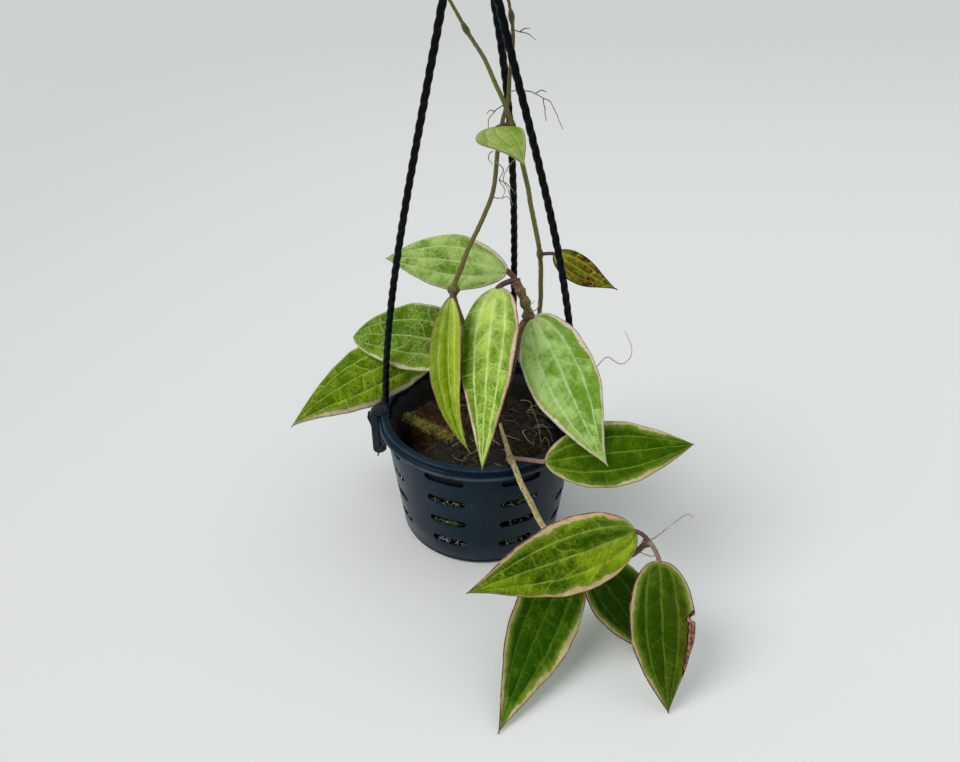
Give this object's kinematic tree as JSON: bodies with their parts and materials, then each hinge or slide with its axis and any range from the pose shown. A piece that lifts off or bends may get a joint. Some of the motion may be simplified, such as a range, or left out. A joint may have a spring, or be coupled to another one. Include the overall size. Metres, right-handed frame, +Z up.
{
  "type": "potted hoya plant",
  "caption": "Climbing hoya with cream-edged green leaves on bare stems, rooted in coir in a slotted black plastic hanging pot with twisted hanger strands and a hook.",
  "frame": {"origin": "centre of the pot's underside, on the surface that it stands on", "axes": "+Z up along the pot's axis, +Y away from the viewer of the picture, +X to the viewer's right"},
  "size_m": [0.233, 0.2243, 0.3894],
  "materials": {
    "pot": "semi-gloss moulded black",
    "hanger": "moulded black, twisted",
    "coir": "dark fibrous coir with pale roots",
    "husk": "brown coconut husk with moss on its near edge",
    "wood": "woody brown stem",
    "olive": "olive-brown vine",
    "brown": "brown vine",
    "tan": "tan stem with pink petioles",
    "leaf_upper_left": "waxy sheen, pale veins, cream and pink margin",
    "leaf_middle": "waxy sheen, pale veins, cream and pink margin",
    "leaf_right": "waxy sheen, pale veins, cream and pink margin",
    "leaf_folded": "waxy sheen, pale veins, cream and pink margin",
    "leaf_left": "waxy sheen, pale veins, cream and pink margin",
    "leaf_lower_left": "waxy sheen, pale veins, cream and pink margin",
    "leaf_top": "waxy sheen, pale veins, cream and pink margin",
    "leaf_young": "waxy sheen, pale veins, cream and pink margin",
    "leaf_over_rim": "waxy sheen, pale veins, cream and pink margin",
    "leaf_front": "waxy sheen, pale veins, cream and pink margin",
    "leaf_front_right": "waxy sheen, pale veins, cream and pink margin",
    "leaf_front_middle": "waxy sheen, pale veins, cream and pink margin",
    "leaf_front_lower": "waxy sheen, pale veins, cream and pink margin"
  },
  "bodies": {
    "root": {"pot": "pot", "coir_mix": "coir", "husk_block": "husk", "hanger_left": "hanger", "hanger_back": "hanger", "hanger_right": "hanger", "hanger_hook": "hanger", "main_stem": "wood", "right_vine": "olive", "left_vine": "brown", "trailing_stem": "tan", "leaf_upper_left": "leaf_upper_left", "leaf_middle": "leaf_middle", "leaf_right": "leaf_right", "leaf_folded": "leaf_folded", "leaf_left": "leaf_left", "leaf_lower_left": "leaf_lower_left", "leaf_top": "leaf_top", "leaf_young": "leaf_young", "leaf_over_rim": "leaf_over_rim", "leaf_front": "leaf_front", "leaf_front_right": "leaf_front_right", "leaf_front_middle": "leaf_front_middle", "leaf_front_lower": "leaf_front_lower"}
  },
  "joints": []
}
